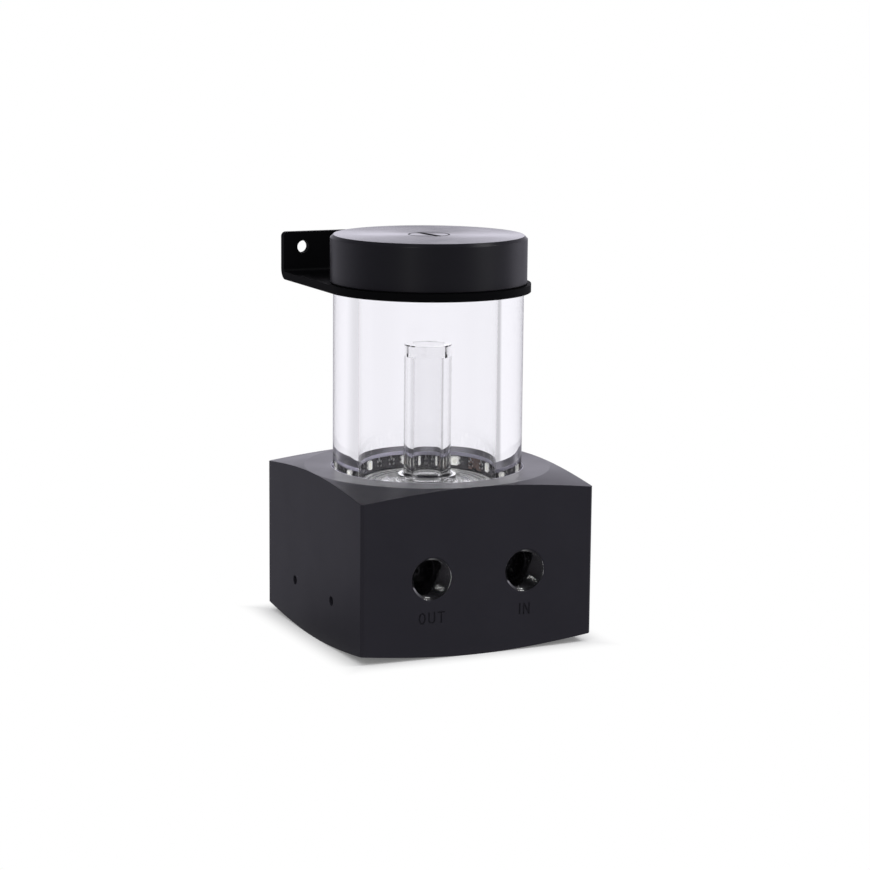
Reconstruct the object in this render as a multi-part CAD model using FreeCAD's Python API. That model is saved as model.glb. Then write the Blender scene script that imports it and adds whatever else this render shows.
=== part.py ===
import FreeCAD, Part
import math
import os

# Water cooling reservoir with its pump in the base. All sizes in millimetres.
# Z is up from the resting face, the axis of tube and pump is X = Y = 0, the port face looks to -Y.

# Base block
block_width = 78.2
block_height = 52.5
corner_slope_deg = 10.0
edge_break = 0.8

# Ports in the front face and the two mounting holes in the left face
port_r = 6.58
port_spacing = 31.5
port_z = 25.0
port_depth = 12.0
mouth_break = 0.25
side_hole_r = 1.5
side_hole_spacing = 30.5
side_hole_z = 15.0
side_hole_depth = 8.0
word_h = 3.6
word_w = 2.3
word_gap = 0.9
word_stroke = 0.45
word_depth = 0.35
word_z = 12.9

# Reservoir tube
tube_od = 60.0
tube_wall = 8.0
tube_rise = 55.9
seat_depth = 6.0
seat_gap = 0.45
foot_step = 4.0
foot_len = 7.0
neck_step = 2.0
neck_thread_len = 9.6

# Floor plate and stand pipe
floor_drop = 4.5
floor_t = 3.0
pipe_od = 15.0
pipe_bore = 9.0
pipe_rise = 41.4
pipe_thread_r = 6.5
pipe_thread_len = 7.0
pipe_flange_r = 9.2
pipe_flange_t = 2.2
pipe_hex = 10.0
pipe_hex_depth = 4.0

# Light strip in the groove round the tube foot
strip_groove = 3.2
strip_lip = 1.2
strip_t = 0.3
led_count = 10
led_pitch_deg = 37.5
led_start_deg = -105.7
strip_tail_deg = 8.0
led_w = 3.5
led_h = 2.8
led_t = 1.9
led_drop = 3.3
lead_r = 1.1
lead_deg = 25.5

# Bracket
bracket_t = 2.5
bracket_ring_r = 32.25
bracket_back = 45.0
bracket_bend_r = 1.0
ear_w = 28.5
ear_rise = 15.3
ear_corner_r = 1.5
ear_hole_r = 2.0
ear_hole_spacing = 15.0
ear_hole_z = 10.4

# Cap and fill plug
cap_od = 62.0
cap_h = 15.0
cap_chamfer = 1.0
plug_boss_r = 10.5
plug_len = 8.5
plug_slot_w = 2.2
plug_slot_depth = 2.6
plug_slot_deg = 96.0

# Pump
volute_r = 19.0
volute_z = 17.0
volute_h = 8.6
inlet_plate_t = 1.8
inlet_eye_r = 5.5
plenum_r = 17.0
plenum_h = 3.0
feed_r = 3.0
outfeed_r = 3.1
suction_r = 3.5
suction_circle_r = 12.5
motor_r = 27.5
can_flange_t = 2.5
can_r = 11.5
can_wall = 0.9
can_board_gap = 0.5
shaft_r = 2.0
bearing_wall = 1.5
bearing_play = 0.03
impeller_r = 15.5
impeller_disc_t = 1.5
blade_count = 6
blade_t = 1.2
blade_h = 5.0
magnet_wall = 4.2
core_r = 21.0
core_h = 6.6
yoke_t = 3.0
tooth_w = 4.0
coil_t = 1.6
board_t = 1.2
board_r = 25.0
post_h = 1.4
cover_r = 34.0
cover_t = 2.0
cover_screw_circle_r = 30.8
can_screw_circle_r = 24.6
grommet_r = 4.0
cable_r = 2.2
grommet_x = 14.0

# Clearances
loose_gap = 0.3
slip_gap = 0.25
close_gap = 0.1
seal_squeeze = 0.2

# Levels and radii that follow
half = block_width / 2
tube_r = tube_od / 2
tube_bore_r = tube_r - tube_wall
seat_z = block_height - seat_depth
foot_r = tube_r - foot_step
groove_z = seat_z - foot_len - loose_gap - 0.2
floor_z = block_height - floor_drop
boss_z = floor_z - floor_t
boss_r = tube_bore_r - slip_gap
shoulder_z = block_height + tube_rise
neck_r = tube_r - neck_step
bracket_top_z = shoulder_z + bracket_t
neck_top_z = bracket_top_z + neck_thread_len
cap_top_z = bracket_top_z + cap_h
cap_bore_r = neck_r + loose_gap
ceiling_z = neck_top_z + loose_gap
strip_r = tube_r + slip_gap + strip_groove - close_gap
strip_in_r = strip_r - strip_t
lip_z = block_height - strip_lip
led_z = block_height - led_drop
feed_z = groove_z - 1.1 - feed_r
volute_top_z = volute_z + volute_h
plate_top_z = volute_top_z + inlet_plate_t
plenum_top_z = plate_top_z + plenum_h
outfeed_z = port_z - (port_r - outfeed_r) + 0.08
can_flange_z = volute_z - can_flange_t
cover_z = 0.0
cover_top_z = cover_z + cover_t
board_z = cover_top_z + post_h
can_floor_z = board_z + board_t + can_board_gap + can_wall
feed_x = port_spacing / 2
feed_y = -half + port_depth - feed_r - 0.25
feed_deg = math.degrees(math.atan2(feed_y, feed_x))
lead_out_r = tube_r + slip_gap + lead_r + 0.3
plug_top_z = cap_top_z
plug_z = plug_top_z - plug_len
plug_seal_t = 1.5
plug_lip_z = plug_z - plug_seal_t
plug_r = port_r - loose_gap

V = FreeCAD.Vector


def rod(r, z0, z1, x=0.0, y=0.0):
    """Upright cylinder from z0 to z1."""
    return Part.makeCylinder(r, z1 - z0, V(x, y, z0))


def pipe(ro, ri, z0, z1, x=0.0, y=0.0):
    """Upright hollow cylinder."""
    return rod(ro, z0, z1, x, y).cut(rod(ri, z0 - 1, z1 + 1, x, y))


def bar(r, a, b):
    """Cylinder between two points."""
    way = V(*b).sub(V(*a))
    return Part.makeCylinder(r, way.Length, V(*a), way)


def box(x0, x1, y0, y1, z0, z1):
    """Box between two corners."""
    return Part.makeBox(x1 - x0, y1 - y0, z1 - z0, V(x0, y0, z0))


def turned(points):
    """Solid of revolution about Z from (radius, z) points."""
    loop = [V(r, 0, z) for r, z in points]
    face = Part.Face(Part.makePolygon(loop + [loop[0]]))
    return face.revolve(V(0, 0, 0), V(0, 0, 1), 360)


def turn(shape, deg):
    """Copy turned about the Z axis."""
    copy = shape.copy()
    copy.rotate(V(0, 0, 0), V(0, 0, 1), deg)
    return copy


def ring_of(shape, count, start=0.0, pitch=None):
    """Copies of a shape spread round the Z axis."""
    step = 360.0 / count if pitch is None else pitch
    return [turn(shape, start + i * step) for i in range(count)]


def spots(radius, angles):
    """Points on a circle about the axis."""
    return [(radius * math.cos(math.radians(a)), radius * math.sin(math.radians(a))) for a in angles]


def seal_flat(mid_r, z0, z1):
    """Seal ring squeezed between two level faces, round inside and outside."""
    h = z1 - z0
    full = Part.makeTorus(mid_r, h / 2 + seal_squeeze, V(0, 0, (z0 + z1) / 2))
    return full.common(rod(mid_r + h + 1, z0, z1))


def seal_round(r_in, r_out, z_mid):
    """Seal ring squeezed between two round walls."""
    t = r_out - r_in
    full = Part.makeTorus((r_in + r_out) / 2, t / 2 + seal_squeeze, V(0, 0, z_mid))
    return full.common(pipe(r_out, r_in, z_mid - t, z_mid + t))


def screw(r, head_r, head_h, length, drive_af):
    """Pan head screw, head down, thread upward from z = 0, with a hexagon socket."""
    body = rod(head_r, -head_h, 0).fuse(rod(r, 0, length))
    return body.cut(hexagon(drive_af, -head_h - 1, -head_h * 0.4)).removeSplitter()


def hexagon(af, z0, z1):
    """Upright hexagon prism given across its flats."""
    corners = [V(x, y, z0) for x, y in spots(af / math.sqrt(3), range(0, 420, 60))]
    return Part.Face(Part.makePolygon(corners)).extrude(V(0, 0, z1 - z0))


suction_spots = spots(suction_circle_r, [feed_deg + a for a in (90, 180, 270)])
can_screw_spots = spots(can_screw_circle_r, (0, 90, 180, 270))
cover_screw_spots = spots(cover_screw_circle_r, (45, 135, 225, 315))


def letter(sign):
    """Strokes of one plain capital as flat faces in X and Z, its lower left corner at the origin."""
    w, h, t = word_w, word_h, word_stroke

    def flat(points):
        loop = [V(x, 0, z) for x, z in points]
        return Part.Face(Part.makePolygon(loop + [loop[0]]))

    def stroke(x0, x1, z0, z1):
        return flat([(x0, z0), (x1, z0), (x1, z1), (x0, z1)])

    def oval(rx, rz, cx, cz):
        turns = [math.radians(a) for a in range(0, 360, 6)]
        return flat([(cx + rx * math.cos(a), cz + rz * math.sin(a)) for a in turns])

    if sign == "I":
        return [stroke(0, t, 0, h)]
    if sign == "T":
        return [stroke(0, w, h - t, h), stroke(w / 2 - t / 2, w / 2 + t / 2, 0, h)]
    if sign == "N":
        slant = flat([(0, h), (t * 1.2, h), (w, 0), (w - t * 1.2, 0)])
        return [stroke(0, t, 0, h), stroke(w - t, w, 0, h), slant]
    if sign == "U":
        bowl = oval(w / 2, w / 2, w / 2, w / 2).cut(oval(w / 2 - t, w / 2 - t, w / 2, w / 2))
        return [stroke(0, t, w / 2, h), stroke(w - t, w, w / 2, h), bowl.common(stroke(0, w, 0, w / 2))]
    return [oval(w / 2, h / 2, w / 2, h / 2).cut(oval(w / 2 - t, h / 2 - t, w / 2, h / 2))]


def word(text, x_mid):
    """Cutter for a word engraved in the front face, centred under its port."""
    widths = [word_stroke if c == "I" else word_w for c in text]
    x = x_mid - (sum(widths) + word_gap * (len(text) - 1)) / 2
    made = []
    for c, wide in zip(text, widths):
        for face in letter(c):
            solid = face.extrude(V(0, word_depth + 1, 0))
            solid.translate(V(x, -half - 1, word_z - word_h / 2))
            made.append(solid)
        x += wide + word_gap
    return made


def base_block():
    """Square block, its corners cut by one shallow cone above and one below, bored for tube and pump."""
    e = edge_break
    outline = [(-half + e, -half), (half - e, -half), (half, -half + e), (half, half - e),
               (half - e, half), (-half + e, half), (-half, half - e), (-half, -half + e)]
    loop = [V(x, y, 0) for x, y in outline]
    block = Part.Face(Part.makePolygon(loop + [loop[0]])).extrude(V(0, 0, block_height))
    reach = half * 1.5
    drop = (reach - half) * math.tan(math.radians(corner_slope_deg))
    cone = [(0, 0), (half, 0), (reach, drop),
            (reach, block_height - drop), (half, block_height), (0, block_height)]
    block = block.common(turned(cone))
    # tube pocket, light strip groove, thread groove round the boss
    cuts = [pipe(tube_r + seat_gap, boss_r, seat_z, block_height + 1),
            rod(boss_r + 1, boss_z, block_height + 1),
            pipe(tube_r + slip_gap + strip_groove, tube_r, seat_z, lip_z),
            pipe(foot_r + close_gap, boss_r, groove_z, seat_z + 1),
            pipe(boss_r + 1, tube_bore_r - 1.55, foot_seal_z() - 1.05, foot_seal_z() + 1.05)]
    # water ways
    cuts += [rod(pipe_thread_r + close_gap, feed_z, boss_z + 1)]
    cuts += [rod(suction_r, plenum_top_z - 1, boss_z + 1, x, y) for x, y in suction_spots]
    cuts += [bar(feed_r, (0, 0, feed_z), (feed_x, feed_y, feed_z)),
             rod(feed_r, port_z, feed_z, feed_x, feed_y),
             Part.makeSphere(feed_r, V(feed_x, feed_y, feed_z)),
             bar(outfeed_r, (-feed_x, -half + port_depth - 1, outfeed_z), (-feed_x, 0, outfeed_z))]
    for x in (-feed_x, feed_x):
        cuts += [bar(port_r, (x, -half - 1, port_z), (x, -half + port_depth, port_z)),
                 Part.makeCone(port_r + mouth_break, port_r, mouth_break, V(x, -half, port_z), V(0, 1, 0))]
    # pump bores from below, stepping inward
    cuts += [rod(plenum_r, plate_top_z - 1, plenum_top_z),
             rod(volute_r, volute_z - 1, plate_top_z),
             rod(motor_r, cover_top_z - 1, volute_z),
             rod(cover_r + slip_gap, -1, cover_top_z)]
    cuts += [rod(1.25, volute_z - 1, volute_z + 6.5, x, y) for x, y in can_screw_spots]
    cuts += [rod(1.5, cover_top_z - 1, cover_top_z + 8, x, y) for x, y in cover_screw_spots]
    # lead channel from the strip groove to the board, and the cable hole in the back
    wide = lead_r + slip_gap
    cuts += [turn(rod(wide, 5.0, seat_z + 0.5, lead_out_r, 0), lead_deg),
             turn(box(motor_r - 2, lead_out_r, -wide, wide, cover_top_z - 0.5, 10.0), lead_deg),
             bar(grommet_r, (grommet_x, 10, grommet_z()), (grommet_x, half + 1, grommet_z())),
             bar(grommet_r + 2, (grommet_x, half - 1.5, grommet_z()), (grommet_x, half + 1, grommet_z()))]
    # words under the ports
    cuts += word("OUT", -feed_x) + word("IN", feed_x)
    # mounting holes in the left face
    for y in (-side_hole_spacing / 2, side_hole_spacing / 2):
        cuts.append(bar(side_hole_r, (-half - 1, y, side_hole_z), (-half + side_hole_depth, y, side_hole_z)))
    for tool in cuts:
        block = block.cut(tool)
    return block.removeSplitter()


def foot_seal_z():
    """Height of the seal round the boss, halfway up the tube's threaded foot."""
    return (groove_z + boss_z) / 2


def grommet_z():
    """Height of the cable hole, just above the board."""
    return cover_top_z + grommet_r + 3.0


def reservoir_tube():
    """Thick tube, turned down to a threaded foot below and a threaded neck above."""
    return turned([(tube_bore_r, seat_z - foot_len), (foot_r, seat_z - foot_len), (foot_r, seat_z),
                   (tube_r, seat_z), (tube_r, shoulder_z), (neck_r, shoulder_z),
                   (neck_r, neck_top_z), (tube_bore_r, neck_top_z)])


def tube_foot_seal():
    """Ring between the boss and the tube bore."""
    return seal_round(tube_bore_r - 1.55, tube_bore_r, foot_seal_z())


def floor_plate():
    """Clear disc on the boss, with the suction holes and the hole for the stand pipe."""
    plate = rod(boss_r, boss_z, floor_z).cut(rod(pipe_thread_r + close_gap, boss_z - 1, floor_z + 1))
    for x, y in suction_spots:
        plate = plate.cut(rod(suction_r, boss_z - 1, floor_z + 1, x, y))
    return plate


def stand_pipe():
    """Clear pipe with a hexagon socket in its top, a flange and a threaded foot."""
    low = floor_z + close_gap
    rim = low + pipe_flange_t
    top = rim + pipe_rise
    root = boss_z - pipe_thread_len
    r = pipe_od / 2
    body = turned([(pipe_bore / 2, root), (pipe_thread_r, root), (pipe_thread_r, low), (pipe_flange_r, low),
                   (pipe_flange_r, rim), (r + 0.6, rim), (r, rim + 0.6), (r, top - 0.3), (r - 0.3, top),
                   (pipe_bore / 2, top)])
    body = body.cut(hexagon(pipe_hex, top - pipe_hex_depth, top + 1))
    mid = pipe_seal_r()
    return body.cut(pipe(mid + 0.9, mid - 0.9, floor_z - 1, floor_z + pipe_seal_h()))


def pipe_seal_r():
    """Middle radius of the seal under the pipe flange."""
    return (pipe_thread_r + pipe_flange_r) / 2


def pipe_seal_h():
    """Height of the seal groove under the pipe flange."""
    return pipe_flange_t * 0.55


def stand_pipe_seal():
    """Ring in the groove under the flange of the stand pipe."""
    return seal_flat(pipe_seal_r(), floor_z, floor_z + pipe_seal_h())


def led_strip():
    """Open band on the wall of the strip groove."""
    band = pipe(strip_r, strip_in_r, seat_z + 0.2, lip_z - 0.2)
    span = math.radians(led_pitch_deg * (led_count - 1) + 2 * strip_tail_deg)
    a0 = math.radians(led_start_deg - strip_tail_deg)
    far = strip_r * 3
    turns = [a0 + span * i / 12 for i in range(13)]
    pts = [V(0, 0, 0)] + [V(far * math.cos(a), far * math.sin(a), 0) for a in turns]
    wedge = Part.Face(Part.makePolygon(pts + [pts[0]])).extrude(V(0, 0, block_height * 2))
    return band.common(wedge)


def on_strip(w, h, t, z_mid):
    """Small block seated on the inner face of the strip at angle 0."""
    block = box(strip_in_r - t, strip_in_r + strip_t, -w / 2, w / 2, z_mid - h / 2, z_mid + h / 2)
    return block.common(rod(strip_in_r, z_mid - h, z_mid + h))


def leds():
    """Light-emitting diodes facing the tube, evenly spread along the strip."""
    one = on_strip(led_w, led_h, led_t, led_z)
    return Part.makeCompound(ring_of(one, led_count, led_start_deg, led_pitch_deg))


def led_resistors():
    """Two small resistors in each space between diodes."""
    one = on_strip(1.6, 0.8, 0.5, led_z - 0.6)
    made = []
    for share in (0.3, 0.62):
        made += ring_of(one, led_count - 1, led_start_deg + led_pitch_deg * share, led_pitch_deg)
    return Part.makeCompound(made)


def strip_lead():
    """Round lead from the board, up the channel, to the foot of the strip."""
    bend = 2.4
    low = board_z + board_t + lead_r + 0.05
    start = board_r - 2.0
    turn_r = lead_out_r - bend
    mid_r = turn_r + bend * math.sin(math.pi / 4)
    mid_z = low + bend * (1 - math.cos(math.pi / 4))
    path = [Part.makeLine(V(start, 0, low), V(turn_r, 0, low)),
            Part.Arc(V(turn_r, 0, low), V(mid_r, 0, mid_z), V(lead_out_r, 0, low + bend)).toShape(),
            Part.makeLine(V(lead_out_r, 0, low + bend), V(lead_out_r, 0, seat_z + 1.2))]
    ring = Part.Wire(Part.makeCircle(lead_r, V(start, 0, low), V(1, 0, 0)))
    lead = Part.Wire(path).makePipeShell([ring], True, False)
    return turn(lead, lead_deg)


def top_bracket():
    """Ring under the cap with an arm to the back and an ear bent upward."""
    r_out = bracket_bend_r + bracket_t
    y_in = bracket_back - bracket_t
    x0 = -bracket_ring_r
    x1 = x0 + ear_w
    z0 = shoulder_z
    z1 = bracket_top_z
    plate = rod(bracket_ring_r, z0, z1).fuse(box(x0, x1, 0, bracket_back - r_out, z0, z1))
    bend = Part.makeCylinder(r_out, ear_w, V(x0, bracket_back - r_out, z0 + r_out), V(1, 0, 0))
    inside = Part.makeCylinder(bracket_bend_r, ear_w + 2, V(x0 - 1, bracket_back - r_out, z0 + r_out), V(1, 0, 0))
    bend = bend.cut(inside)
    bend = bend.common(box(x0, x1, bracket_back - r_out, bracket_back + 1, z0 - 1, z0 + r_out))
    ear = box(x0, x1, y_in, bracket_back, z0 + r_out, z0 + ear_rise)
    top_edges = [e for e in ear.Edges if abs(e.CenterOfMass.z - z0 - ear_rise) < 0.01 and
                 abs(e.Vertexes[0].Y - e.Vertexes[1].Y) > 0.1]
    ear = ear.makeFillet(ear_corner_r, top_edges)
    body = plate.fuse(bend).fuse(ear).cut(rod(neck_r + loose_gap, z0 - 1, z1 + 1))
    mid = (x0 + x1) / 2
    for x in (mid - ear_hole_spacing / 2, mid + ear_hole_spacing / 2):
        z = z0 + ear_hole_z
        body = body.cut(bar(ear_hole_r, (x, y_in - 1, z), (x, bracket_back + 1, z)))
    return body.removeSplitter()


def top_cap():
    """Turned cap screwed over the tube neck, with a boss below for the fill plug."""
    c = cap_chamfer
    r = cap_od / 2
    body = turned([(0, ceiling_z), (cap_bore_r, ceiling_z), (cap_bore_r, bracket_top_z), (r - 0.4, bracket_top_z),
                   (r, bracket_top_z + 0.4), (r, cap_top_z - c), (r - c, cap_top_z), (0, cap_top_z)])
    body = body.fuse(rod(plug_boss_r, plug_lip_z - 1.4, ceiling_z + 1))
    mid = (tube_bore_r + neck_r) / 2
    tools = [pipe(mid + 1.6, mid - 1.6, ceiling_z - 1, ceiling_z + 1.9),
             rod(port_r, plug_lip_z, cap_top_z + 1),
             rod(4.4, plug_lip_z - 3, plug_lip_z + 1)]
    for tool in tools:
        body = body.cut(tool)
    return body.removeSplitter()


def cap_seal():
    """Ring in the ceiling groove of the cap, pressed on the end of the tube neck."""
    return seal_flat((tube_bore_r + neck_r) / 2, neck_top_z, ceiling_z + 1.9)


def fill_plug():
    """Headless plug, flush in the cap, coin slot across its top and a stub below that holds its seal."""
    body = rod(plug_r, plug_z, plug_top_z - 0.25).fuse(
        Part.makeCone(plug_r, plug_r - 0.25, 0.25, V(0, 0, plug_top_z - 0.25)))
    body = body.fuse(rod(3.5, plug_z - 1.2, plug_z + 1))
    slot_z = plug_top_z - plug_slot_depth
    slot = box(-port_r * 2, port_r * 2, -plug_slot_w / 2, plug_slot_w / 2, slot_z, plug_top_z + 1)
    return body.cut(turn(slot, plug_slot_deg)).removeSplitter()


def fill_plug_seal():
    """Ring between the plug and the lip of its bore, carried on the stub of the plug."""
    return seal_flat((plug_r + 3.5) / 2 - 0.1, plug_lip_z, plug_z)


def inlet_plate():
    """Disc over the impeller with the eye in its middle."""
    return pipe(volute_r - slip_gap, inlet_eye_r, volute_top_z, plate_top_z)


def pump_can():
    """Flange that closes the volute and the thin cup that keeps water from the stator."""
    r_out = can_r
    r_in = can_r - can_wall
    body = turned([(0, can_floor_z - can_wall), (r_out, can_floor_z - can_wall), (r_out, can_flange_z),
                   (motor_r - slip_gap, can_flange_z), (motor_r - slip_gap, volute_z), (r_in, volute_z),
                   (r_in, can_floor_z), (shaft_r + 1.6, can_floor_z), (shaft_r + 1.6, can_floor_z + 1.6),
                   (0, can_floor_z + 1.6)])
    body = body.cut(rod(shaft_r, can_floor_z, volute_z))
    mid = can_seal_r()
    body = body.cut(pipe(mid + 1.0, mid - 1.0, volute_z - 1.2, volute_z + 1))
    for x, y in can_screw_spots:
        body = body.cut(rod(1.4, can_flange_z - 1, volute_z + 1, x, y))
    return body.removeSplitter()


def can_seal_r():
    """Middle radius of the seal between volute wall and can screws."""
    return (volute_r + can_screw_circle_r - 1.4) / 2


def pump_can_seal():
    """Ring in the face groove of the can flange."""
    return seal_flat(can_seal_r(), volute_z - 1.2, volute_z)


def pump_can_screws():
    """Screws that hold the can flange up against the block."""
    one = screw(1.25, 2.2, 1.8, can_flange_t + 6.0, 2.0)
    return Part.makeCompound([one.translated(V(x, y, can_flange_z)) for x, y in can_screw_spots])


def pump_shaft():
    """Fixed ceramic pin in the floor of the can."""
    top = volute_top_z - 0.6
    return turned([(0, can_floor_z), (shaft_r, can_floor_z), (shaft_r, top - 0.4),
                   (shaft_r - 0.4, top), (0, top)])


def thrust_washer():
    """Washer on the boss of the can under the rotor bearing."""
    return pipe(shaft_r + 1.6, shaft_r + 0.2, can_floor_z + 1.6, can_floor_z + 2.2)


def bearing_r():
    """Outside radius of the rotor bearing."""
    return shaft_r + bearing_play + bearing_wall


def rotor_foot_z():
    """Lower end of the rotor."""
    return can_floor_z + 2.5


def rotor_bearing():
    """Carbon bush that runs on the shaft."""
    return pipe(bearing_r(), shaft_r + bearing_play, rotor_foot_z(), volute_z + 4.0)


def rotor_magnet():
    """Ring magnet in the can, on the hub of the impeller."""
    r_out = can_r - can_wall - 0.6
    return pipe(r_out, r_out - magnet_wall, rotor_foot_z() + 0.3, volute_z - 0.6)


def impeller():
    """Disc with backward-curved blades and a hub that reaches down through the magnet."""
    hub_r = can_r - can_wall - 0.6 - magnet_wall
    disc_z = volute_z + 0.6
    blade_z = disc_z + impeller_disc_t
    body = rod(impeller_r, disc_z, blade_z).fuse(rod(hub_r, rotor_foot_z(), blade_z + 1.2))
    curve = impeller_r * 0.75
    arc = pipe(curve + blade_t / 2, curve - blade_t / 2, blade_z - 0.2, blade_z + blade_h, curve, 0)
    sector = pipe(impeller_r, hub_r - 0.2, blade_z - 0.2, blade_z + blade_h)
    sector = sector.common(box(0, impeller_r, 0, impeller_r, blade_z - 1, blade_z + blade_h + 1))
    blade = arc.common(sector)
    for copy in ring_of(blade, blade_count):
        body = body.fuse(copy)
    return body.cut(rod(bearing_r(), rotor_foot_z() - 1, blade_z + blade_h + 1)).removeSplitter()


def core_z():
    """Underside of the stator core, halfway up the can."""
    return (can_floor_z - can_wall + can_flange_z - core_h) / 2 + 0.4


def core_in_r():
    """Bore of the stator core, pushed on the can."""
    return can_r + 0.05


def stator_core():
    """Yoke ring with six teeth and widened tips."""
    z0 = core_z()
    z1 = z0 + core_h
    body = pipe(core_r, core_r - yoke_t, z0, z1)
    tooth = box(core_in_r() - 2, core_r - yoke_t / 2, -tooth_w / 2, tooth_w / 2, z0, z1)
    tip = box(core_in_r() - 2, core_in_r() + 1.4, -4.4, 4.4, z0, z1)
    for part in ring_of(tooth.fuse(tip), 6, 30.0):
        body = body.fuse(part)
    return body.cut(rod(core_in_r(), z0 - 1, z1 + 1)).removeSplitter()


def stator_coils():
    """Windings round the six teeth."""
    z0 = core_z()
    x0 = core_in_r() + 1.6
    x1 = core_r - yoke_t - 0.4
    wide = tooth_w / 2 + coil_t
    outer = box(x0, x1, -wide, wide, z0 - coil_t * 0.6, z0 + core_h + coil_t * 0.6)
    long_edges = [e for e in outer.Edges if abs(e.Vertexes[0].X - e.Vertexes[1].X) > 0.1]
    outer = outer.makeFillet(coil_t * 0.4, long_edges)
    hole = box(x0 - 1, x1 + 1, -tooth_w / 2, tooth_w / 2, z0, z0 + core_h)
    return Part.makeCompound(ring_of(outer.cut(hole), 6, 30.0))


def driver_board():
    """Round board under the stator."""
    return rod(board_r, board_z, board_z + board_t)


def board_parts():
    """Driver chip, capacitors and transistors under the board."""
    z1 = board_z
    sizes = [(-4.0, 6.0, 6.0, 6.0, 0.9), (8.0, 9.0, 3.2, 2.5, 0.9), (12.0, 2.0, 3.2, 2.5, 0.9),
             (-13.0, 8.0, 4.5, 3.5, 1.0), (-13.0, 0.0, 4.5, 3.5, 1.0), (3.0, -6.0, 3.0, 1.6, 0.7),
             (3.0, -10.0, 3.0, 1.6, 0.7), (-6.0, -8.0, 3.0, 1.6, 0.7)]
    made = [box(x - w / 2, x + w / 2, y - d / 2, y + d / 2, z1 - h, z1) for x, y, w, d, h in sizes]
    return Part.makeCompound(made)


def bottom_cover():
    """Round cover let into the underside, with three posts for the board."""
    body = rod(cover_r, cover_z, cover_top_z)
    for x, y in spots(board_r - 4.5, (90, 210, 330)):
        body = body.fuse(rod(2.0, cover_top_z - 0.5, board_z, x, y))
    for x, y in cover_screw_spots:
        body = body.cut(rod(1.6, cover_z - 1, cover_top_z + 1, x, y))
        body = body.cut(Part.makeCone(3.0, 1.6, 1.4, V(x, y, cover_z)))
    return body.removeSplitter()


def bottom_cover_screws():
    """Countersunk screws that hold the cover."""
    one = Part.makeCone(2.9, 1.5, 1.4, V(0, 0, 0)).fuse(rod(1.5, 1.3, cover_t + 7.0))
    one = one.cut(hexagon(2.0, -1, 0.9)).removeSplitter()
    return Part.makeCompound([one.translated(V(x, y, cover_z)) for x, y in cover_screw_spots])


def cable_grommet():
    """Rubber bush in the back face with a hole for the cable."""
    z = grommet_z()
    y0 = half - 6.0
    body = bar(grommet_r, (grommet_x, y0, z), (grommet_x, half, z))
    body = body.fuse(bar(grommet_r + 2 - close_gap, (grommet_x, half - 1.5, z), (grommet_x, half, z)))
    body = body.cut(bar(cable_r, (grommet_x, y0 - 1, z), (grommet_x, half + 1, z)))
    return body.removeSplitter()


pieces = [base_block, reservoir_tube, tube_foot_seal, floor_plate, stand_pipe, stand_pipe_seal, led_strip, leds,
          led_resistors, strip_lead, top_bracket, top_cap, cap_seal, fill_plug, fill_plug_seal, inlet_plate,
          impeller, rotor_magnet, rotor_bearing, pump_shaft, thrust_washer, pump_can, pump_can_seal,
          pump_can_screws, stator_core, stator_coils, driver_board, board_parts, bottom_cover,
          bottom_cover_screws, cable_grommet]

os.makedirs("parts", exist_ok=True)
for make in pieces:
    shape = make()
    shape.exportStep("parts/%s.step" % make.__name__)
    print(make.__name__, shape.isValid(), len(shape.Solids), round(shape.Volume, 1))
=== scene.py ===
import math

import bpy
import numpy as np
from mathutils import Matrix


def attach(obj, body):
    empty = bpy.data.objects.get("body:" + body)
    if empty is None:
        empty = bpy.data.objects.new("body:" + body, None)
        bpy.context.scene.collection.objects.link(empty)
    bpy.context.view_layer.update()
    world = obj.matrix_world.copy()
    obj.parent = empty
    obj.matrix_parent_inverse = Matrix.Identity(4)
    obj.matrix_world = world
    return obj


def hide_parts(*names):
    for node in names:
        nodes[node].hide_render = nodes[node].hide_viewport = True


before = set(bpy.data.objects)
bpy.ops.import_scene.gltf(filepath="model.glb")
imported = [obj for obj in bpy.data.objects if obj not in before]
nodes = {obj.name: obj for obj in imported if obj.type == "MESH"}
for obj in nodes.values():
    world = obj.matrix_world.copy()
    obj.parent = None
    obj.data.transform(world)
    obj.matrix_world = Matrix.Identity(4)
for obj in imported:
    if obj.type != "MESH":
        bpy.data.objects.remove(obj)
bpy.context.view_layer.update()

scene = bpy.context.scene
MM = 0.001
TAU = 2 * math.pi

# Ports and fill plug, in millimetres: one thread for all, and two ports beside the middle of the front face

PIPE_THREAD_PITCH = 1.337
PORT_SIDE, PORT_HEIGHT = 15.75, 25.0
PORT_MOUTH_Y, PORT_DEPTH = -38.83, 11.3
PORT_ROOT_RADIUS, PORT_CREST_RADIUS = 6.57, 5.84

# Light strip, in millimetres and degrees: its inner face, and the diodes spaced evenly round it

STRIP_RADIUS = 33.05
LED_HEIGHT = 49.2
LED_SPACING = 37.5
LED_ANGLES = -105.7 + LED_SPACING * np.arange(10)
LED_PLACES = np.stack([LED_ANGLES, np.full_like(LED_ANGLES, LED_HEIGHT)], axis=-1)

# Directions and tints of the studio: straight back, to the right, and the surround as each ray meets it

STRAIGHT_BACK = (0.416, 0.909, 0.0)
TO_THE_RIGHT = (0.910, -0.4145, 0.0)
WHITE = (1.0, 1.0, 1.0)
TINT_THROUGH = (0.995, 0.985, 1.04)
TINT_IN_GLOSS = (0.91, 0.885, 1.0)


# Small helpers for shader trees

def put(tree, kind, settings=None, **sockets):
    """Adds a shader node; sockets go by name, or by i and a number, with a value or another node's output."""
    made = tree.nodes.new(kind)
    for key, value in (settings or {}).items():
        setattr(made, key, value)
    for key, value in sockets.items():
        numbered = key[0] == "i" and key[1:].isdigit()
        socket = made.inputs[int(key[1:]) if numbered else key.replace("_", " ")]
        if isinstance(value, bpy.types.NodeSocket):
            tree.links.new(value, socket)
        else:
            socket.default_value = value
    return made


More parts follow.
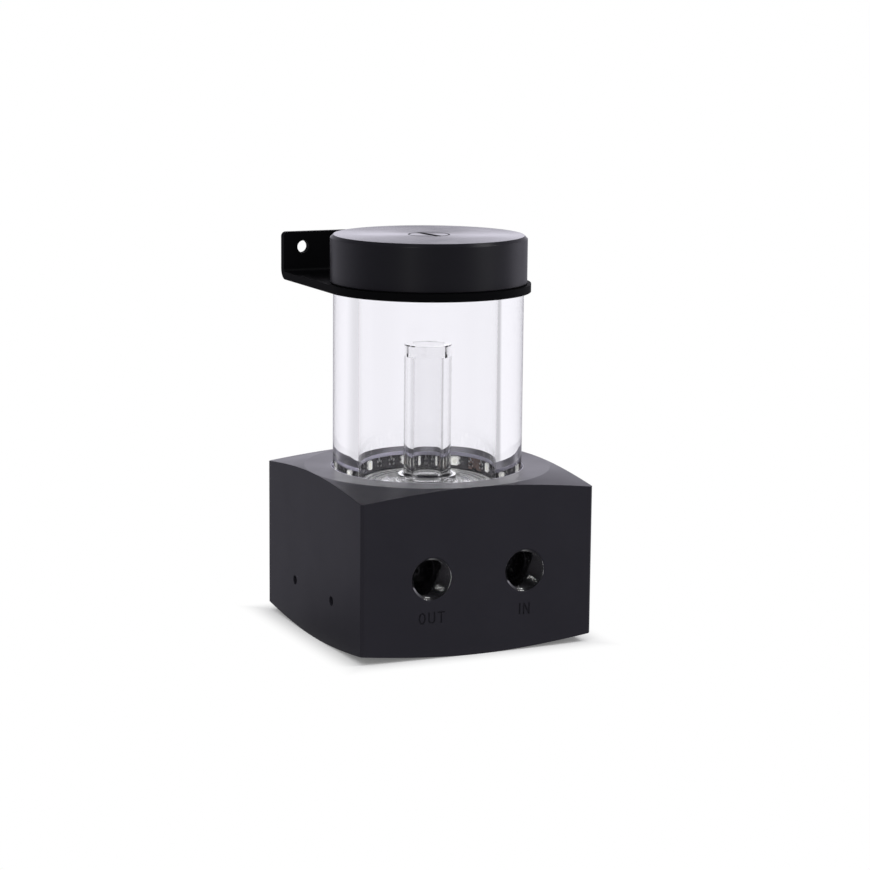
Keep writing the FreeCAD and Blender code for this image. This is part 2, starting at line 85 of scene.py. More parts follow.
def maths(tree, operation, a, b=0.0, clamp=False):
    """Output of one arithmetic node."""
    return put(tree, "ShaderNodeMath", {"operation": operation, "use_clamp": clamp}, i0=a, i1=b).outputs[0]


def joined(tree, operation, values):
    """Many values joined by one operation, from the first to the last."""
    result = values[0]
    for value in values[1:]:
        result = maths(tree, operation, result, value)
    return result


def product(tree, *values):
    """Values multiplied together."""
    return joined(tree, "MULTIPLY", values)


def total(tree, *values):
    """Values added together."""
    return joined(tree, "ADD", values)


def vector_maths(tree, operation, a, b=(0.0, 0.0, 0.0)):
    """Output of one vector node: a number for a dot product or a length, a vector otherwise."""
    made = put(tree, "ShaderNodeVectorMath", {"operation": operation}, i0=a, i1=b)
    return made.outputs["Value" if operation in ("DOT_PRODUCT", "LENGTH") else "Vector"]


def along(tree, vector, axis):
    """Part of a vector along one axis."""
    return put(tree, "ShaderNodeSeparateXYZ", i0=vector).outputs[axis]


def own_place(tree):
    """Place on the piece, in its own coordinates."""
    return put(tree, "ShaderNodeTexCoord").outputs["Object"]


def from_axis(tree, place):
    """Distance of a place from the Z axis."""
    return vector_maths(tree, "LENGTH", vector_maths(tree, "MULTIPLY", place, (1.0, 1.0, 0.0)))


def ramp(tree, value, low, high, out_low=0.0, out_high=1.0):
    """Value carried from one span to another, smoothly and clamped."""
    settings = {"interpolation_type": "SMOOTHSTEP", "clamp": True}
    return put(tree, "ShaderNodeMapRange", settings, Value=value, From_Min=low, From_Max=high,
               To_Min=out_low, To_Max=out_high).outputs[0]


def blend(tree, factor, first, second):
    """Number between two numbers by a factor."""
    return put(tree, "ShaderNodeMix", {"data_type": "FLOAT"}, i0=factor, i2=first, i3=second).outputs[0]


def shade(tree, factor, first, second):
    """Colour between two colours by a factor; a colour is three numbers or another node's output."""
    ends = [end if isinstance(end, bpy.types.NodeSocket) else (*end, 1.0) for end in (first, second)]
    return put(tree, "ShaderNodeMix", {"data_type": "RGBA"}, Factor=factor, i6=ends[0], i7=ends[1]).outputs[2]


def new_group(name, inputs, outputs, input_type="NodeSocketFloat"):
    """Empty shader node group with named inputs and number outputs, and its two end nodes."""
    group = bpy.data.node_groups.new(name, "ShaderNodeTree")
    for label in inputs:
        group.interface.new_socket(label, in_out="INPUT", socket_type=input_type)
    for label in outputs:
        group.interface.new_socket(label, in_out="OUTPUT", socket_type="NodeSocketFloat")
    return group, group.nodes.new("NodeGroupInput"), group.nodes.new("NodeGroupOutput")


def use_group(tree, group, **sockets):
    """Places a group in a tree with its own values or links."""
    return put(tree, "ShaderNodeGroup", {"node_tree": group}, **sockets)


# Studio: camera, lamps, surround and floor, in metres

def standing(place, right, up, back):
    """Matrix of a thing that stands at a place with these three axes."""
    matrix = Matrix((right, up, back)).transposed().to_4x4()
    matrix.translation = place
    return matrix


def set_camera():
    """Camera given by its place and its three axes, with a 105 mm lens on a 36 mm sensor."""
    place = (-0.328903, -0.724944, 0.204248)
    right = (0.910002, -0.414509, 0.008799)
    up = (0.065005, 0.163607, 0.984382)
    back = (-0.409475, -0.895218, 0.175828)
    data = bpy.data.cameras.new("camera")
    data.sensor_width = 36.0
    data.lens = 105.33
    data.clip_start = 0.01
    camera = bpy.data.objects.new("camera", data)
    scene.collection.objects.link(camera)
    camera.matrix_world = standing(place, right, up, back)
    scene.camera = camera


def soft_box(name, place, aim, width, height, power, lean):
    """Rectangular lamp at a place, facing a point; lean turns it about its own line of sight, in degrees."""
    data = bpy.data.lights.new(name, "AREA")
    data.shape = "RECTANGLE"
    data.size, data.size_y = width, height
    data.energy = power
    lamp = bpy.data.objects.new(name, data)
    scene.collection.objects.link(lamp)
    back = np.array(place) - np.array(aim)
    back /= np.linalg.norm(back)
    side = np.cross((0.0, 0.0, 1.0), back)
    side /= np.linalg.norm(side)
    rise = np.cross(back, side)
    c, s = math.cos(math.radians(lean)), math.sin(math.radians(lean))
    lamp.matrix_world = standing(place, c * side + s * rise, c * rise - s * side, back)


def surround_group():
    """How bright the studio is along a direction. Mirror, for gloss: a panel low behind the object, a bar above
    it, a strip on the right, and a surround that darkens to the front and overhead. Through, for clear parts:
    white behind, brighter above the floor, falling off to the sides, the front and overhead, with the same bar.
    Ground, for the floor in gloss: dark in front."""
    group, given, result = new_group("studio_surround", ["Way"], ["Mirror", "Ground", "Through"],
                                     "NodeSocketVector")
    way = vector_maths(group, "NORMALIZE", given.outputs["Way"])
    behind = vector_maths(group, "DOT_PRODUCT", way, STRAIGHT_BACK)
    side = vector_maths(group, "DOT_PRODUCT", way, TO_THE_RIGHT)
    height = along(group, way, "Z")
    # length of the direction as seen from above, kept over zero straight up
    level_length = maths(group, "SQRT", maths(group, "SUBTRACT", 1.001, product(group, height, height)))
    bearing = maths(group, "DIVIDE", behind, level_length)

    bar = product(group, ramp(group, bearing, 0.97, 0.995), ramp(group, height, 0.22, 0.32),
                  ramp(group, height, 0.55, 0.42, 0.0, 1.5))
    panel = product(group, ramp(group, bearing, 0.975, 1.0), ramp(group, height, 0.38, 0.12))
    strip = product(group, ramp(group, side, 0.60, 0.80, 0.0, 1.1), ramp(group, behind, 0.25, 0.50))
    all_round = ramp(group, behind, -0.6, 0.3, 0.05, 0.42)
    overhead = ramp(group, height, 0.70, 0.10, 0.22, 1.0)
    mirror = total(group, bar, product(group, total(group, panel, all_round, strip), overhead))

    left_fall = ramp(group, side, -0.87, -0.50, 0.78, 1.0)
    right_fall = ramp(group, side, 0.80, 0.87, 1.0, 0.62)
    front_fall = ramp(group, behind, -0.1, 0.45, 0.45, 1.0)
    above_floor = ramp(group, height, 0.03, 0.12, 1.0, 2.2)
    overhead = ramp(group, height, 0.42, 0.20, 0.12, 1.0)
    through = total(group, bar, product(group, left_fall, right_fall, front_fall, above_floor, overhead))

    group.links.new(mirror, result.inputs["Mirror"])
    group.links.new(ramp(group, behind, -0.3, 0.5, 0.06, 0.42), result.inputs["Ground"])
    group.links.new(through, result.inputs["Through"])
    return group


SURROUND = surround_group()


def studio_glow(tree, way, mirrored="Mirror"):
    """Strength of the surround along a direction: 1 for the eye, Through for rays passed by clear parts, and
    the named output for rays thrown back by gloss; then 1 for these three kinds of ray alone, and the tint."""
    path = put(tree, "ShaderNodeLightPath")
    around = use_group(tree, SURROUND, Way=way)
    seen, passed = path.outputs["Is Camera Ray"], path.outputs["Is Transmission Ray"]
    glossy = maths(tree, "SUBTRACT", path.outputs["Is Glossy Ray"], passed, clamp=True)
    thrown = maths(tree, "SUBTRACT", glossy, seen, clamp=True)
    glow = total(tree, seen, product(tree, passed, around.outputs["Through"]),
                 product(tree, thrown, around.outputs[mirrored]))
    direct = maths(tree, "ADD", seen, maths(tree, "ADD", passed, thrown, clamp=True), clamp=True)
    tint = shade(tree, thrown, shade(tree, passed, WHITE, TINT_THROUGH), TINT_IN_GLOSS)
    return glow, direct, tint


def light_the_studio():
    """White surround for the eye, graded for gloss and clear parts and softer for the light it casts, and two
    lamps aimed at the middle of the block."""
    soft_strength = 0.75
    aim = (0.0, 0.0, 0.025)
    world = bpy.data.worlds.new("studio")
    scene.world = world
    world.use_nodes = True
    tree = world.node_tree
    glow, direct, tint = studio_glow(tree, put(tree, "ShaderNodeTexCoord").outputs["Generated"])
    soft = product(tree, maths(tree, "SUBTRACT", 1.0, direct), soft_strength)
    background = tree.nodes["Background"]
    tree.links.new(total(tree, glow, soft), background.inputs["Strength"])
    tree.links.new(tint, background.inputs["Color"])
    soft_box("left_box", (-0.59, -0.555, 0.77), aim, width=0.05, height=0.34, power=1.1, lean=-25.0)
    soft_box("right_box", (0.656, -0.427, 0.80), aim, width=0.07, height=0.32, power=3.2, lean=50.6)


def lay_floor():
    """Pale floor, a flat grid just under the object, that keeps the shadow near it and melts into white."""
    half_width, drop = 4.0, 0.00002
    melt_start, melt_end, melt_near = 0.036, 0.048, 0.15
    t = np.linspace(-half_width, half_width, 3)
    x, y = np.meshgrid(t, t, indexing="ij")
    floor = grid_mesh("floor", np.stack([x, y, np.full_like(x, -drop)], axis=-1))
    material = bpy.data.materials.new("floor_paper")
    material.use_nodes = True
    tree = material.node_tree
    tree.nodes.remove(tree.nodes["Principled BSDF"])
    spot = own_place(tree)
    flat = vector_maths(tree, "ABSOLUTE", spot)
    reach = maths(tree, "MAXIMUM", along(tree, flat, "X"), along(tree, flat, "Y"))
    glow, direct, tint = studio_glow(tree, spot, "Ground")
    white = put(tree, "ShaderNodeEmission", Strength=glow, Color=tint)
    paper = put(tree, "ShaderNodeBsdfDiffuse", Color=(0.90, 0.90, 0.91, 1.0))
    melt = product(tree, direct, ramp(tree, reach, melt_start, melt_end, melt_near, 1.0))
    both = put(tree, "ShaderNodeMixShader", i0=melt, i1=paper.outputs[0], i2=white.outputs[0])
    tree.links.new(both.outputs[0], tree.nodes["Material Output"].inputs["Surface"])
    floor.data.materials.append(material)


# Surfaces worked out on grids, in millimetres

def point_mesh(name, points, quads):
    """Smooth object at the origin from points and four-cornered faces."""
    mesh = bpy.data.meshes.new(name)
    mesh.vertices.add(len(points))
    mesh.vertices.foreach_set("co", np.ascontiguousarray(points, np.float32).ravel())
    mesh.loops.add(quads.size)
    mesh.loops.foreach_set("vertex_index", np.ascontiguousarray(quads, np.int32).ravel())
    mesh.polygons.add(len(quads))
    mesh.polygons.foreach_set("loop_start", np.arange(len(quads), dtype=np.int32) * 4)
    mesh.polygons.foreach_set("use_smooth", np.ones(len(quads), bool))
    mesh.update(calc_edges=True)
    mesh.validate()
    made = bpy.data.objects.new(name, mesh)
    scene.collection.objects.link(made)
    return made


def many_grids(name, grids, round_u=False, round_v=False):
    """One mesh over like grids of points (count, rows u, columns v, 3); a round direction joins its last line
    to its first."""
    n, nu, nv = grids.shape[:3]
    rows = np.arange(nu if round_u else nu - 1)
    columns = np.arange(nv if round_v else nv - 1)
    k, a, b = np.meshgrid(np.arange(n), rows, columns, indexing="ij")
    first, next_a, next_b = k * nu * nv, (a + 1) % nu, (b + 1) % nv
    quads = np.stack([first + a * nv + b, first + next_a * nv + b,
                      first + next_a * nv + next_b, first + a * nv + next_b], axis=-1)
    return point_mesh(name, grids.reshape(-1, 3), quads.reshape(-1, 4))


def grid_mesh(name, grid, round_u=False, round_v=False):
    """Mesh over one grid of points (rows u, columns v, 3)."""
    return many_grids(name, grid[None], round_u, round_v)


def turn(steps):
    """Angles of one full turn in even steps."""
    return np.linspace(0.0, TAU, steps, endpoint=False)


def rounded(points, radii, steps=5):
    """Closed outline with its corners rounded: each corner becomes a quadratic bend between the points where
    it starts and ends."""
    p = np.array(points, float)
    before, after = np.roll(p, 1, axis=0) - p, np.roll(p, -1, axis=0) - p
    before /= np.linalg.norm(before, axis=1, keepdims=True)
    after /= np.linalg.norm(after, axis=1, keepdims=True)
    r = np.array(radii, float)[:, None]
    t = np.linspace(0.0, 1.0, steps)[None, :, None]
    start, end = (p + before * r)[:, None], (p + after * r)[:, None]
    bend = (1 - t) ** 2 * start + 2 * t * (1 - t) * p[:, None] + t ** 2 * end
    return bend.reshape(-1, 2)


def tooth(phase, steepness=1.03):
    """Thread tooth over one pitch or width: 0 at its ends, straight up to a flat crest at 1, which is wider
    the steeper it is."""
    s = phase - np.floor(phase)
    return np.clip(steepness * (1 - 2 * np.abs(s - 0.5)), 0.0, 1.0)


def port_thread(name, x):
    """Threaded wall of a port along Y: radius = root - height * tooth(depth / pitch - angle / turn), with a
    steep lead-in at the mouth and a shallow cone for a floor, closed by a plain sleeve behind."""
    lead_slope, lead_length = 1.43, 0.8
    floor_radii, floor_dip = np.array([0.98, 0.6, 0.2, 0.0]), 0.02 * np.array([0.0, 0.22, 0.46, 0.58])
    floor_wall = 0.2
    height = PORT_ROOT_RADIUS - PORT_CREST_RADIUS
    turns = turn(96)
    a, d = np.meshgrid(turns, np.linspace(0.0, PORT_DEPTH, 220), indexing="ij")
    lead = np.clip(lead_slope * d / height, 0.0, 1.0)
    ridge = np.maximum(tooth(d / PIPE_THREAD_PITCH - a / TAU), d < lead_length * height)
    r = PORT_ROOT_RADIUS - height * lead * ridge
    back = PORT_DEPTH + floor_wall
    end_r = np.concatenate([PORT_CREST_RADIUS * floor_radii, [0.0, PORT_ROOT_RADIUS, PORT_ROOT_RADIUS]])
    end_d = np.concatenate([PORT_DEPTH + PORT_CREST_RADIUS * floor_dip, [back, back, 0.0]])
    all_round = np.ones((len(turns), 1))
    r = np.concatenate([r, all_round * end_r], axis=1)
    d = np.concatenate([d, all_round * end_d], axis=1)
    a = np.broadcast_to(turns[:, None], r.shape)
    grid = np.stack([x + r * np.cos(a), PORT_MOUTH_Y + d, PORT_HEIGHT + r * np.sin(a)], axis=-1) * MM
    return grid_mesh(name, grid, True, True)


def groove(a, r, z, wall, low, high, run_in, run_out, depth, pitch):
    """Thread cut into the wall of one radius: depth * (1 - tooth(height / pitch - angle / turn)), let in above
    its low end and out below its high end."""
    fade = np.clip((z - low) / run_in, 0.0, 1.0) * np.clip((high - z) / run_out, 0.0, 1.0)
    on_wall = np.abs(r - wall) < 0.05
    return depth * fade * on_wall * (1 - tooth(z / pitch - a / TAU))


def clear_tube():
    """Clear tube turned round Z: a rounded outline of radius over height is carried round the axis, and foot
    and neck are less by their thread grooves."""
    bore, foot, body, neck = 22.0, 26.0, 30.0, 28.0
    foot_end, shoulder, neck_start, rim = 39.5, 46.5, 108.4, 120.5
    outline = rounded([(bore, foot_end), (foot, foot_end), (foot, shoulder), (body, shoulder),
                       (body, neck_start), (neck, neck_start), (neck, rim), (bore, rim)],
                      [0.3, 0.4, 0.15, 0.25, 0.25, 0.15, 0.4, 0.4])
    stretches = []
    for start, end in zip(outline, np.roll(outline, -1, axis=0)):
        length = np.linalg.norm(end - start)
        upright = abs(start[0] - end[0]) < 0.01 and length > 3.0
        if upright and foot - 0.5 < start[0] < neck + 0.5:
            shares = np.linspace(0.0, 1.0, 121)
        elif length < 2.0:
            shares = np.array([0.0, 0.06, 0.94, 1.0])
        else:
            near, far = 0.1 / length, 0.3 / length
            shares = np.array([0.0, near, far, 1 - far, 1 - near, 1.0])
        stretches.append(start + (end - start) * shares[:-1, None])
    line = np.concatenate(stretches)
    a, r = np.meshgrid(turn(192), line[:, 0], indexing="ij")
    z = np.broadcast_to(line[:, 1], a.shape)
    neck_cut = groove(a, r, z, neck, low=111.2, high=119.9, run_in=0.6, run_out=0.8, depth=0.85, pitch=2.0)
    foot_cut = groove(a, r, z, foot, low=40.0, high=45.8, run_in=0.8, run_out=0.8, depth=0.7, pitch=1.5)
    r = r - neck_cut - foot_cut
    return grid_mesh("clear_tube", np.stack([r * np.cos(a), r * np.sin(a), z], axis=-1) * MM, True, True)


def on_strip(angle, height, rise):
    """Points over the strip's inner face: angle about Z in degrees, height, and rise toward the axis."""
    r = STRIP_RADIUS - rise
    t = np.radians(angle)
    return np.stack([r * np.cos(t), r * np.sin(t), height + 0 * r], axis=-1) * MM


def repeated_on_strip(name, places, x, z, rise):
    """One small shape at many places (angle, height) of the strip: x along it, z across it, and its rise."""
    angle = places[:, 0, None, None] + np.degrees(x / STRIP_RADIUS)
    height = places[:, 1, None, None] + z
    return many_grids(name, on_strip(angle, height, np.broadcast_to(rise, angle.shape)), round_u=True)


def led_packages():
    """Diode packages: rounded-square loops (|cos| ** 8 + |sin| ** 8) ** (-1 / 8) that step in to a round cup,
    closed by a point in front and behind."""
    loops = np.array([
        # half width, half height, rise, and 0 for square or 1 for round
        (0.00, 0.00, 0.00, 0.0),
        (1.74, 1.39, 0.00, 0.0),
        (1.74, 1.39, 1.80, 0.0),
        (1.68, 1.33, 1.88, 0.0),
        (1.30, 1.18, 1.88, 1.0),
        (1.24, 1.13, 1.84, 1.0),
        (1.20, 1.10, 1.52, 1.0),
        (0.00, 0.00, 1.52, 1.0)])
    wide, high, rise, roundness = loops.T
    t = turn(48)[:, None]
    square = (np.abs(np.cos(t)) ** 8 + np.abs(np.sin(t)) ** 8) ** (-1 / 8)
    shape = square * (1 - roundness) + roundness
    x, z = wide * shape * np.cos(t), high * shape * np.sin(t)
    return repeated_on_strip("led_packages", LED_PLACES, x, z, rise)


def led_windows():
    """Clear gel over each diode: an oval dome, rise = foot + dome * (1 - share of the radius ** 2)."""
    half_width, half_height, foot, dome = 1.17, 1.07, 1.60, 0.24
    t = turn(32)[:, None]
    q = np.linspace(1.0, 0.0, 7)
    x, z = half_width * q * np.cos(t), half_height * q * np.sin(t)
    return repeated_on_strip("led_windows", LED_PLACES, x, z, foot + dome * (1 - q ** 2))


def solder_dots():
    """Tinned joints on the strip: round heaps, rise = foot + heap * (1 - share of the radius ** 2), in two
    clusters between diodes and four beside each diode."""
    radius, foot, heap = 0.48, 0.01, 0.18
    cluster = np.array([(-0.95, -1.0), (0.95, -1.0), (-1.1, 0.3), (0.0, 0.75), (1.1, 0.3), (0.3, 1.25)])
    cluster_shares, cluster_drop = np.array([0.30, 0.62]), 0.1
    corner_x, corner_z = 2.0, 0.8
    middles = (LED_ANGLES[:-1, None] + LED_SPACING * cluster_shares).ravel()
    joints = [(m + math.degrees(x / STRIP_RADIUS), LED_HEIGHT - cluster_drop + z)
              for m in middles for x, z in cluster]
    joints += [(m + math.degrees(x / STRIP_RADIUS), LED_HEIGHT + z)
               for m in LED_ANGLES for x in (-corner_x, corner_x) for z in (-corner_z, corner_z)]
    t = turn(12)[:, None]
    q = np.linspace(1.0, 0.0, 5)
    x, z = radius * q * np.cos(t), radius * q * np.sin(t)
    return repeated_on_strip("solder_dots", np.array(joints), x, z, foot + heap * (1 - q ** 2))


def amber_tape():
    """Heat-proof tape over the joints of the lead: a patch wrapped on the strip, with slow ripples
    cos(1.3 * angle + z) * cos(2.1 * z) that die out at its edges."""
    middle, half_angle, low, high = 25.5, 7.2, 46.9, 50.9
    thickness, ripple, foot = 0.10, 0.05, 0.01
    end_run, edge_run = 0.5, 0.3
    a, z = np.meshgrid(np.linspace(-half_angle, half_angle, 61), np.linspace(low, high, 31), indexing="ij")
    rise = thickness + ripple * np.cos(a * 1.3 + z) * np.cos(z * 2.1)
    at_ends = np.clip((half_angle - np.abs(a)) / end_run, 0.0, 1.0)
    at_edges = np.clip(np.minimum(z - low, high - z) / edge_run, 0.0, 1.0)
    return grid_mesh("amber_tape", on_strip(middle + a, z, foot + rise * at_ends * at_edges)[::-1])


def plug_thread():
    """Ridge wound round the fill plug: radius = core + height * tooth across its width, carried along a
    helix, z = start + pitch * angle / turn, and let down at both ends."""
    core_radius, ridge_height, ridge_width, ridge_steepness = 6.24, 0.27, 1.1, 1.6
    start, end_angle, run_out = 118.0, 4.2 * TAU, 2.0
    a, q = np.meshgrid(np.linspace(0.0, end_angle, 400), np.linspace(0.0, 1.0, 9), indexing="ij")
    ends = np.clip(np.minimum(a, end_angle - a) / run_out, 0.0, 1.0)
    r = core_radius + ridge_height * ends * tooth(q, ridge_steepness)
    z = start + PIPE_THREAD_PITCH * a / TAU + (q - 0.5) * ridge_width
    return grid_mesh("plug_thread", np.stack([r * np.cos(a), r * np.sin(a), z], axis=-1) * MM)


# Marks that several finishes share

def turned_group():
    """Rings left by a lathe tool round Z: noise over the distance from the axis, coarse and fine."""
    group, given, result = new_group("turned_rings", ["Rings", "Fine"], ["Height"])
    radius = from_axis(group, own_place(group))
    heights = []
    for label, detail, share in (("Rings", 1.0, 0.6), ("Fine", 0.0, 0.4)):
        noise = put(group, "ShaderNodeTexNoise", {"noise_dimensions": "1D"},
                    W=product(group, radius, given.outputs[label]), Scale=1.0, Detail=detail)
        heights.append(product(group, noise.outputs["Fac"], share))
    group.links.new(total(group, *heights), result.inputs["Height"])
    return group


def grain_group():
    """Fine even grain and slow cloudiness from three-dimensional noise on the piece's own place."""
    group, given, result = new_group("surface_grain", ["Grain", "Clouds"], ["Grain", "Clouds"])
    place = own_place(group)
    for label, detail in (("Grain", 2.0), ("Clouds", 3.0)):
        noise = put(group, "ShaderNodeTexNoise", Vector=place, Scale=given.outputs[label], Detail=detail)
        group.links.new(noise.outputs["Fac"], result.inputs[label])
    return group


TURNED = turned_group()
GRAIN = grain_group()


# Finishes

def blank(name, **sockets):
    """New material with plain values on its shader."""
    material = bpy.data.materials.new(name)
    material.use_nodes = True
    shader = material.node_tree.nodes["Principled BSDF"]
    for key, value in sockets.items():
        shader.inputs[key.replace("_", " ")].default_value = value
    return material, material.node_tree, shader


def bump(tree, shader, height, strength, distance, edge=0.0):
    """Raised relief from a height into the shader's normal, over edges broken by a small radius where one is
    given."""
    made = put(tree, "ShaderNodeBump", Height=height, Strength=strength, Distance=distance)
    if edge:
        broken = put(tree, "ShaderNodeBevel", {"samples": 4}, Radius=edge)
        tree.links.new(broken.outputs[0], made.inputs["Normal"])
    tree.links.new(made.outputs[0], shader.inputs["Normal"])


def painted_lip_highlight(tree, colour, outer_radius, low):
    """Colour with a painted highlight, a paler band on the lip, inside a radius and above a height, in metres.
    """
    painted_highlight_colour = (0.54, 0.52, 0.64)
    radius_run, height_run = 0.0002, 0.0003
    place = own_place(tree)
    inside = ramp(tree, from_axis(tree, place), outer_radius, outer_radius - radius_run)
    above = ramp(tree, along(tree, place, "Z"), low, low + height_run)
    return shade(tree, product(tree, inside, above), colour, painted_highlight_colour)


def machined_black(name, dark, light, rough_side, rough_top, painted_lip=None, **sockets):
    """Machined black acetal: lathe rings on faces that look up or down, fine mill grain on the sides, clouded
    colour and roughness, and an optional painted highlight, a paler lip band given by its largest radius and
    lowest height."""
    rough_spread = 0.12
    material, tree, shader = blank(name, Anisotropic_Rotation=0.25, **sockets)
    rings = use_group(tree, TURNED, Rings=2600.0, Fine=8000.0).outputs["Height"]
    marks = use_group(tree, GRAIN, Grain=7000.0, Clouds=70.0)
    grain, clouds = marks.outputs["Grain"], marks.outputs["Clouds"]
    facing = along(tree, put(tree, "ShaderNodeTexCoord").outputs["Normal"], "Z")
    level_face = ramp(tree, maths(tree, "ABSOLUTE", facing), 0.5, 0.9)
    rough = total(tree, blend(tree, level_face, rough_side, rough_top),
                  product(tree, maths(tree, "SUBTRACT", clouds, 0.5), rough_spread))
    tree.links.new(rough, shader.inputs["Roughness"])
    colour = shade(tree, clouds, dark, light)
    # Painted highlight: the lip is made paler than the acetal to stand for light at the tube's seat.
    if painted_lip:
        colour = painted_lip_highlight(tree, colour, *painted_lip)
    tree.links.new(colour, shader.inputs["Base Color"])
    tangent = put(tree, "ShaderNodeTangent", {"direction_type": "RADIAL", "axis": "Z"})
    tree.links.new(tangent.outputs[0], shader.inputs["Tangent"])
    bump(tree, shader, blend(tree, level_face, grain, rings), 0.25, 0.00004, edge=0.0003)
    return material


def clear_acrylic(name, rough=0.0, ripple=0.0, rings=0.0, clear=1.0, **sockets):
    """Clear plastic that lets lamp light through to what is inside it, with a slow ripple in its polish or,
    where rings are given, alternate polished and milled rings round Z."""
    milled_rough = 0.50
    material, tree, shader = blank(name, Base_Color=(0.998, 0.998, 1.0, 1.0), Roughness=rough, IOR=1.49,
                                   Transmission_Weight=clear, **sockets)
    if rings:
        turned = use_group(tree, TURNED, Rings=rings, Fine=1500.0).outputs["Height"]
        bump(tree, shader, turned, 0.5, 0.0003)
        tree.links.new(ramp(tree, turned, 0.46, 0.54, rough, milled_rough), shader.inputs["Roughness"])
    else:
        clouds = use_group(tree, GRAIN, Grain=900.0, Clouds=45.0).outputs["Clouds"]
        bump(tree, shader, clouds, ripple, 0.0002)
    path = put(tree, "ShaderNodeLightPath")
    open_way = put(tree, "ShaderNodeBsdfTransparent", Color=(0.985, 0.985, 0.99, 1.0))
    both = put(tree, "ShaderNodeMixShader", i0=path.outputs["Is Shadow Ray"], i1=shader.outputs[0],
               i2=open_way.outputs[0])
    tree.links.new(both.outputs[0], tree.nodes["Material Output"].inputs["Surface"])
    return material


def plain_grain(name, dark, light, rough, grain=6000.0, relief=0.15, depth=0.00005, **sockets):
    """Moulded, coated or bare finish: clouded colour, grain in the relief and in the roughness."""
    rough_spread = 0.12
    material, tree, shader = blank(name, **sockets)
    marks = use_group(tree, GRAIN, Grain=grain, Clouds=120.0)
    tree.links.new(shade(tree, marks.outputs["Clouds"], dark, light), shader.inputs["Base Color"])
    roughness = total(tree, rough - rough_spread / 2, product(tree, marks.outputs["Grain"], rough_spread))
    tree.links.new(roughness, shader.inputs["Roughness"])
    bump(tree, shader, marks.outputs["Grain"], relief, depth)
    return material


def finish_piece(piece, body, material):
    """Puts a finished piece on its body with its finish."""
    piece.data.materials.append(material)
    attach(piece, body)


set_camera()
light_the_studio()
lay_floor()

# Machined black pieces and the glossy port threads

# The block's lip carries a painted highlight: a pale band at the rim of the tube's seat.
block_black = machined_black("block_acetal", (0.0190, 0.0182, 0.0240), (0.0220, 0.0212, 0.0278),
                             rough_side=0.45, rough_top=0.33, painted_lip=(0.0307, 0.0508), Anisotropic=0.5, IOR=1.25,
                             Specular_IOR_Level=0.55, Specular_Tint=(0.93, 0.90, 1.0, 1.0))
cap_black = machined_black("cap_acetal", (0.0090, 0.0086, 0.0122), (0.0106, 0.0102, 0.0142),
                           rough_side=0.42, rough_top=0.24, Anisotropic=0.80, Specular_IOR_Level=0.40)
port_gloss = plain_grain("port_thread_gloss", (0.004, 0.004, 0.005), (0.006, 0.006, 0.007), 0.10,
                         grain=4000.0, relief=0.05, depth=0.00003, IOR=2.0, Specular_IOR_Level=0.8,
                         Coat_Weight=1.0, Coat_Roughness=0.06, Coat_IOR=2.0)

# Clear pieces

tube_clear = clear_acrylic("tube_acrylic", ripple=0.02)
pipe_clear = clear_acrylic("pipe_acrylic", ripple=0.04)
floor_clear = clear_acrylic("floor_acrylic", rough=0.04, rings=420.0, clear=0.75, Specular_IOR_Level=0.2)
silicone_clear = clear_acrylic("seal_silicone", rough=0.25, ripple=0.1)

# Bracket, seals and light strip

coat_black = plain_grain("bracket_coat", (0.0018, 0.0018, 0.0024), (0.0026, 0.0026, 0.0034), 0.60,
                         grain=5000.0, relief=0.3, depth=0.00006, Specular_IOR_Level=0.06)
rubber_black = plain_grain("seal_rubber", (0.010, 0.010, 0.010), (0.014, 0.014, 0.014), 0.55, grain=7000.0,
                           relief=0.2)
strip_mask = plain_grain("strip_mask", (0.075, 0.072, 0.080), (0.105, 0.100, 0.112), 0.38, grain=3000.0,
                         relief=0.1, Specular_IOR_Level=0.2)
# Painted glow: the diode packages and their gel emit a little light so the unlit diodes read brighter; they are
# no lamp.
led_white_painted_glow = plain_grain("led_package", (0.94, 0.94, 0.93), (0.97, 0.97, 0.96), 0.35, grain=5000.0,
                        relief=0.05, Emission_Color=(1.0, 1.0, 0.98, 1.0), Emission_Strength=0.40)
led_gel_painted_glow = plain_grain("led_gel_painted_glow", (0.88, 0.88, 0.80), (0.94, 0.94, 0.86), 0.12, grain=2000.0, relief=0.03,
                      Emission_Color=(1.0, 1.0, 0.94, 1.0), Emission_Strength=0.36)
tin = plain_grain("solder_tin", (0.90, 0.90, 0.91), (0.96, 0.96, 0.97), 0.30, grain=4000.0, relief=0.1)
tape_amber = plain_grain("tape_amber", (0.26, 0.17, 0.15), (0.36, 0.24, 0.21), 0.25, grain=1200.0, relief=0.1)
chip_black = plain_grain("chip_body", (0.02, 0.02, 0.02), (0.03, 0.03, 0.03), 0.4)
lead_black = plain_grain("lead_sleeve", (0.02, 0.02, 0.02), (0.03, 0.03, 0.03), 0.45)

# Pump and motor inside the block

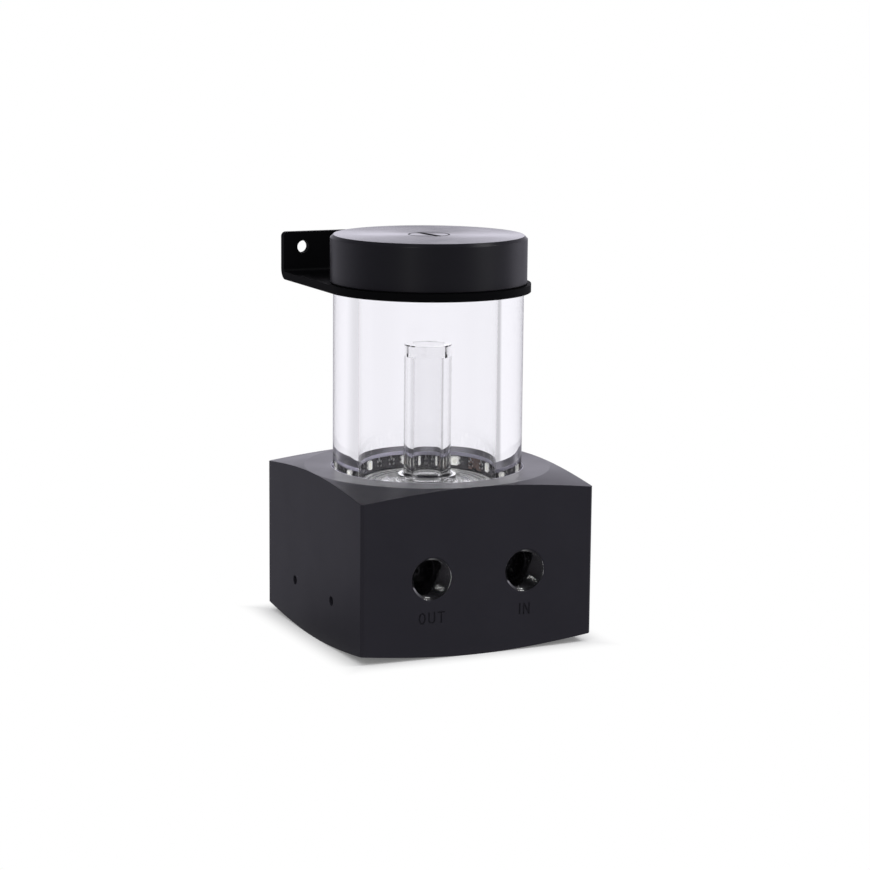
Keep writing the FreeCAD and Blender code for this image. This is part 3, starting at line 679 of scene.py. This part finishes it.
natural_plastic = plain_grain("impeller_plastic", (0.62, 0.61, 0.57), (0.70, 0.69, 0.65), 0.4)
pump_black = plain_grain("pump_plastic", (0.02, 0.02, 0.022), (0.03, 0.03, 0.033), 0.45)
ferrite = plain_grain("magnet_ferrite", (0.05, 0.05, 0.053), (0.08, 0.08, 0.085), 0.5)
carbon = plain_grain("bearing_carbon", (0.03, 0.03, 0.03), (0.045, 0.045, 0.045), 0.35)
ceramic = plain_grain("shaft_ceramic", (0.80, 0.79, 0.76), (0.86, 0.85, 0.82), 0.15)
slip_plastic = plain_grain("washer_plastic", (0.75, 0.73, 0.67), (0.82, 0.80, 0.74), 0.35)
core_steel = plain_grain("core_steel", (0.35, 0.36, 0.38), (0.45, 0.46, 0.48), 0.4, Metallic=1.0)
coil_copper = plain_grain("coil_copper", (0.55, 0.22, 0.10), (0.70, 0.32, 0.15), 0.3, Metallic=1.0)
board_green = plain_grain("board_mask", (0.010, 0.070, 0.030), (0.015, 0.100, 0.045), 0.3)
screw_black = plain_grain("screw_oxide", (0.05, 0.05, 0.055), (0.09, 0.09, 0.095), 0.35, Metallic=1.0)

NODE_FINISH = {
    "base_block": block_black, "bottom_cover": block_black, "top_cap": cap_black, "fill_plug": cap_black,
    "reservoir_tube": tube_clear, "stand_pipe": pipe_clear, "floor_plate": floor_clear,
    "stand_pipe_seal": silicone_clear, "top_bracket": coat_black,
    "tube_foot_seal": rubber_black, "cap_seal": rubber_black, "fill_plug_seal": rubber_black,
    "pump_can_seal": rubber_black, "cable_grommet": rubber_black,
    "led_strip": strip_mask, "leds": led_white_painted_glow, "led_resistors": chip_black, "board_parts": chip_black,
    "strip_lead": lead_black, "impeller": natural_plastic, "inlet_plate": pump_black, "pump_can": pump_black,
    "rotor_magnet": ferrite, "rotor_bearing": carbon, "pump_shaft": ceramic, "thrust_washer": slip_plastic,
    "stator_core": core_steel, "stator_coils": coil_copper, "driver_board": board_green,
    "pump_can_screws": screw_black, "bottom_cover_screws": screw_black}
for name, finish in NODE_FINISH.items():
    nodes[name].data.materials[0] = finish

# Pieces made here, each on its body

tube = clear_tube()
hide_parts("reservoir_tube")
finish_piece(tube, "base", tube_clear)
packages = led_packages()
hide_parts("leds")
finish_piece(packages, "base", led_white_painted_glow)
finish_piece(led_windows(), "base", led_gel_painted_glow)
finish_piece(solder_dots(), "base", tin)
finish_piece(amber_tape(), "base", tape_amber)
finish_piece(plug_thread(), "plug", cap_black)
for side, x in (("out", -PORT_SIDE), ("in", PORT_SIDE)):
    finish_piece(port_thread("port_thread_" + side, x), "base", port_gloss)

scene.view_settings.view_transform = "Standard"
